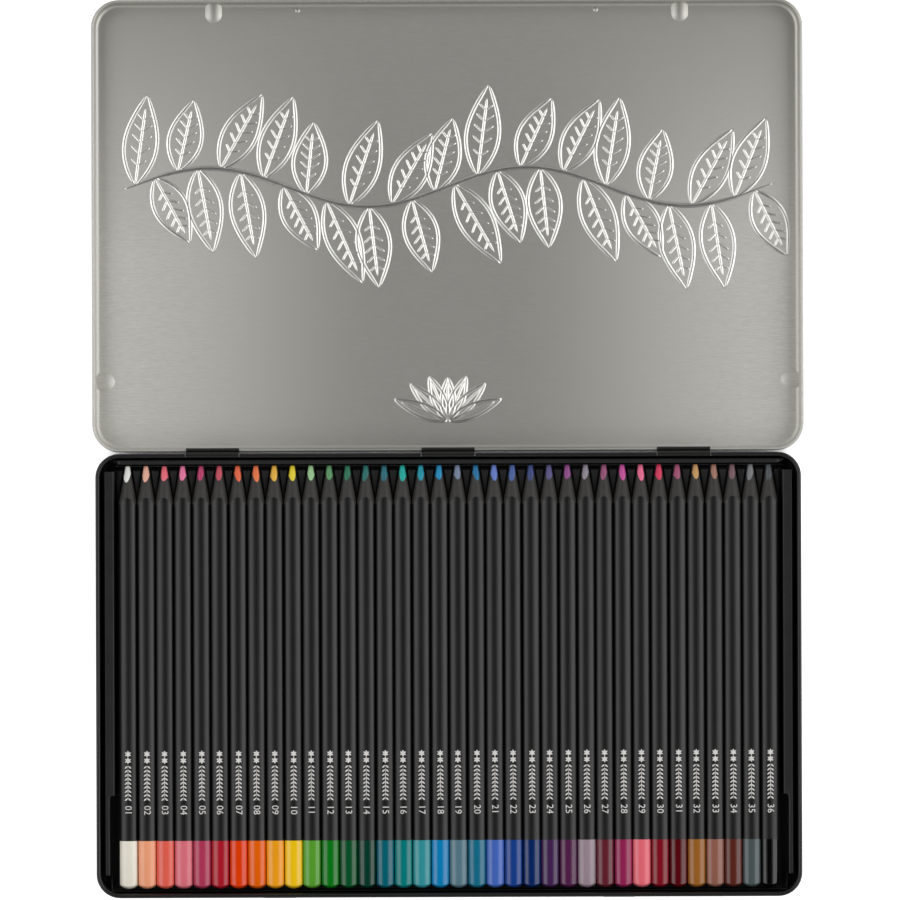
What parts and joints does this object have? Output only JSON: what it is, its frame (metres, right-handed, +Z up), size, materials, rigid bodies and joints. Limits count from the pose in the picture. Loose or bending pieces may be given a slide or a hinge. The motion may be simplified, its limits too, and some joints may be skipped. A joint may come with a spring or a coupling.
{
  "type": "colored pencil tin",
  "caption": "Flat hinged metal tin with a formed tray that holds one row of sharpened triangular coloured pencils, shown open.",
  "frame": {"origin": "middle of the base's underside, on the surface the tin lies on", "axes": "+X along the tin, +Y towards the hinge and the opened lid, +Z up out of the open tin"},
  "size_m": [0.2912, 0.3679, 0.0125],
  "materials": {
    "black_lacquer": "black stoving lacquer on tinplate, satin",
    "bare_tinplate": "bare tinplate, finely brushed, inside of the lid",
    "tray_plastic": "black thermoformed sheet, glossy",
    "ivory": "dyed black wood, matt, with lead and dipped end in ivory",
    "peach": "dyed black wood, matt, with lead and dipped end in peach",
    "coral": "dyed black wood, matt, with lead and dipped end in coral",
    "rose_pink": "dyed black wood, matt, with lead and dipped end in rose pink",
    "magenta": "dyed black wood, matt, with lead and dipped end in magenta",
    "dark_red": "dyed black wood, matt, with lead and dipped end in dark red",
    "scarlet": "dyed black wood, matt, with lead and dipped end in scarlet",
    "orange": "dyed black wood, matt, with lead and dipped end in orange",
    "amber": "dyed black wood, matt, with lead and dipped end in amber",
    "yellow": "dyed black wood, matt, with lead and dipped end in yellow",
    "leaf_green": "dyed black wood, matt, with lead and dipped end in leaf green",
    "grass_green": "dyed black wood, matt, with lead and dipped end in grass green",
    "fir_green": "dyed black wood, matt, with lead and dipped end in fir green",
    "dark_green": "dyed black wood, matt, with lead and dipped end in dark green",
    "teal_blue": "dyed black wood, matt, with lead and dipped end in teal blue",
    "turquoise": "dyed black wood, matt, with lead and dipped end in turquoise",
    "sea_blue": "dyed black wood, matt, with lead and dipped end in sea blue",
    "sky_blue": "dyed black wood, matt, with lead and dipped end in sky blue",
    "blue_grey": "dyed black wood, matt, with lead and dipped end in blue grey",
    "petrol": "dyed black wood, matt, with lead and dipped end in petrol",
    "periwinkle": "dyed black wood, matt, with lead and dipped end in periwinkle",
    "royal_blue": "dyed black wood, matt, with lead and dipped end in royal blue",
    "navy": "dyed black wood, matt, with lead and dipped end in navy",
    "violet": "dyed black wood, matt, with lead and dipped end in violet",
    "aubergine": "dyed black wood, matt, with lead and dipped end in aubergine",
    "mauve_grey": "dyed black wood, matt, with lead and dipped end in mauve grey",
    "plum": "dyed black wood, matt, with lead and dipped end in plum",
    "fuchsia": "dyed black wood, matt, with lead and dipped end in fuchsia",
    "salmon_pink": "dyed black wood, matt, with lead and dipped end in salmon pink",
    "crimson": "dyed black wood, matt, with lead and dipped end in crimson",
    "maroon": "dyed black wood, matt, with lead and dipped end in maroon",
    "ochre": "dyed black wood, matt, with lead and dipped end in ochre",
    "rosewood": "dyed black wood, matt, with lead and dipped end in rosewood",
    "chestnut": "dyed black wood, matt, with lead and dipped end in chestnut",
    "slate": "dyed black wood, matt, with lead and dipped end in slate",
    "black": "dyed black wood, matt, with lead and dipped end in black"
  },
  "bodies": {
    "base": {"base_tin": "black_lacquer"},
    "lid": {"lid": "bare_tinplate"},
    "insert": {"insert_tray": "tray_plastic"},
    "pencil_01": {"pencil_01": "ivory"},
    "pencil_02": {"pencil_02": "peach"},
    "pencil_03": {"pencil_03": "coral"},
    "pencil_04": {"pencil_04": "rose_pink"},
    "pencil_05": {"pencil_05": "magenta"},
    "pencil_06": {"pencil_06": "dark_red"},
    "pencil_07": {"pencil_07": "scarlet"},
    "pencil_08": {"pencil_08": "orange"},
    "pencil_09": {"pencil_09": "amber"},
    "pencil_10": {"pencil_10": "yellow"},
    "pencil_11": {"pencil_11": "leaf_green"},
    "pencil_12": {"pencil_12": "grass_green"},
    "pencil_13": {"pencil_13": "fir_green"},
    "pencil_14": {"pencil_14": "dark_green"},
    "pencil_15": {"pencil_15": "teal_blue"},
    "pencil_16": {"pencil_16": "turquoise"},
    "pencil_17": {"pencil_17": "sea_blue"},
    "pencil_18": {"pencil_18": "sky_blue"},
    "pencil_19": {"pencil_19": "blue_grey"},
    "pencil_20": {"pencil_20": "petrol"},
    "pencil_21": {"pencil_21": "periwinkle"},
    "pencil_22": {"pencil_22": "royal_blue"},
    "pencil_23": {"pencil_23": "navy"},
    "pencil_24": {"pencil_24": "violet"},
    "pencil_25": {"pencil_25": "aubergine"},
    "pencil_26": {"pencil_26": "mauve_grey"},
    "pencil_27": {"pencil_27": "plum"},
    "pencil_28": {"pencil_28": "fuchsia"},
    "pencil_29": {"pencil_29": "salmon_pink"},
    "pencil_30": {"pencil_30": "crimson"},
    "pencil_31": {"pencil_31": "maroon"},
    "pencil_32": {"pencil_32": "ochre"},
    "pencil_33": {"pencil_33": "rosewood"},
    "pencil_34": {"pencil_34": "chestnut"},
    "pencil_35": {"pencil_35": "slate"},
    "pencil_36": {"pencil_36": "black"}
  },
  "joints": [
    {"name": "lid_hinge", "type": "hinge", "parent": "base", "child": "lid", "pos_m": [0, 0.092, 0.007], "axis": [-1, 0, 0], "range_deg": [-180, 0]},
    {"name": "insert_lift", "type": "slide", "parent": "base", "child": "insert", "axis": [0, 0, 1], "range_m": [0, 0.014]},
    {"name": "pencil_01_lift", "type": "slide", "parent": "insert", "child": "pencil_01", "axis": [0, 0, 1], "range_m": [0, 0.012]},
    {"name": "pencil_02_lift", "type": "slide", "parent": "insert", "child": "pencil_02", "axis": [0, 0, 1], "range_m": [0, 0.012]},
    {"name": "pencil_03_lift", "type": "slide", "parent": "insert", "child": "pencil_03", "axis": [0, 0, 1], "range_m": [0, 0.012]},
    {"name": "pencil_04_lift", "type": "slide", "parent": "insert", "child": "pencil_04", "axis": [0, 0, 1], "range_m": [0, 0.012]},
    {"name": "pencil_05_lift", "type": "slide", "parent": "insert", "child": "pencil_05", "axis": [0, 0, 1], "range_m": [0, 0.012]},
    {"name": "pencil_06_lift", "type": "slide", "parent": "insert", "child": "pencil_06", "axis": [0, 0, 1], "range_m": [0, 0.012]},
    {"name": "pencil_07_lift", "type": "slide", "parent": "insert", "child": "pencil_07", "axis": [0, 0, 1], "range_m": [0, 0.012]},
    {"name": "pencil_08_lift", "type": "slide", "parent": "insert", "child": "pencil_08", "axis": [0, 0, 1], "range_m": [0, 0.012]},
    {"name": "pencil_09_lift", "type": "slide", "parent": "insert", "child": "pencil_09", "axis": [0, 0, 1], "range_m": [0, 0.012]},
    {"name": "pencil_10_lift", "type": "slide", "parent": "insert", "child": "pencil_10", "axis": [0, 0, 1], "range_m": [0, 0.012]},
    {"name": "pencil_11_lift", "type": "slide", "parent": "insert", "child": "pencil_11", "axis": [0, 0, 1], "range_m": [0, 0.012]},
    {"name": "pencil_12_lift", "type": "slide", "parent": "insert", "child": "pencil_12", "axis": [0, 0, 1], "range_m": [0, 0.012]},
    {"name": "pencil_13_lift", "type": "slide", "parent": "insert", "child": "pencil_13", "axis": [0, 0, 1], "range_m": [0, 0.012]},
    {"name": "pencil_14_lift", "type": "slide", "parent": "insert", "child": "pencil_14", "axis": [0, 0, 1], "range_m": [0, 0.012]},
    {"name": "pencil_15_lift", "type": "slide", "parent": "insert", "child": "pencil_15", "axis": [0, 0, 1], "range_m": [0, 0.012]},
    {"name": "pencil_16_lift", "type": "slide", "parent": "insert", "child": "pencil_16", "axis": [0, 0, 1], "range_m": [0, 0.012]},
    {"name": "pencil_17_lift", "type": "slide", "parent": "insert", "child": "pencil_17", "axis": [0, 0, 1], "range_m": [0, 0.012]},
    {"name": "pencil_18_lift", "type": "slide", "parent": "insert", "child": "pencil_18", "axis": [0, 0, 1], "range_m": [0, 0.012]},
    {"name": "pencil_19_lift", "type": "slide", "parent": "insert", "child": "pencil_19", "axis": [0, 0, 1], "range_m": [0, 0.012]},
    {"name": "pencil_20_lift", "type": "slide", "parent": "insert", "child": "pencil_20", "axis": [0, 0, 1], "range_m": [0, 0.012]},
    {"name": "pencil_21_lift", "type": "slide", "parent": "insert", "child": "pencil_21", "axis": [0, 0, 1], "range_m": [0, 0.012]},
    {"name": "pencil_22_lift", "type": "slide", "parent": "insert", "child": "pencil_22", "axis": [0, 0, 1], "range_m": [0, 0.012]},
    {"name": "pencil_23_lift", "type": "slide", "parent": "insert", "child": "pencil_23", "axis": [0, 0, 1], "range_m": [0, 0.012]},
    {"name": "pencil_24_lift", "type": "slide", "parent": "insert", "child": "pencil_24", "axis": [0, 0, 1], "range_m": [0, 0.012]},
    {"name": "pencil_25_lift", "type": "slide", "parent": "insert", "child": "pencil_25", "axis": [0, 0, 1], "range_m": [0, 0.012]},
    {"name": "pencil_26_lift", "type": "slide", "parent": "insert", "child": "pencil_26", "axis": [0, 0, 1], "range_m": [0, 0.012]},
    {"name": "pencil_27_lift", "type": "slide", "parent": "insert", "child": "pencil_27", "axis": [0, 0, 1], "range_m": [0, 0.012]},
    {"name": "pencil_28_lift", "type": "slide", "parent": "insert", "child": "pencil_28", "axis": [0, 0, 1], "range_m": [0, 0.012]},
    {"name": "pencil_29_lift", "type": "slide", "parent": "insert", "child": "pencil_29", "axis": [0, 0, 1], "range_m": [0, 0.012]},
    {"name": "pencil_30_lift", "type": "slide", "parent": "insert", "child": "pencil_30", "axis": [0, 0, 1], "range_m": [0, 0.012]},
    {"name": "pencil_31_lift", "type": "slide", "parent": "insert", "child": "pencil_31", "axis": [0, 0, 1], "range_m": [0, 0.012]},
    {"name": "pencil_32_lift", "type": "slide", "parent": "insert", "child": "pencil_32", "axis": [0, 0, 1], "range_m": [0, 0.012]},
    {"name": "pencil_33_lift", "type": "slide", "parent": "insert", "child": "pencil_33", "axis": [0, 0, 1], "range_m": [0, 0.012]},
    {"name": "pencil_34_lift", "type": "slide", "parent": "insert", "child": "pencil_34", "axis": [0, 0, 1], "range_m": [0, 0.012]},
    {"name": "pencil_35_lift", "type": "slide", "parent": "insert", "child": "pencil_35", "axis": [0, 0, 1], "range_m": [0, 0.012]},
    {"name": "pencil_36_lift", "type": "slide", "parent": "insert", "child": "pencil_36", "axis": [0, 0, 1], "range_m": [0, 0.012]}
  ]
}
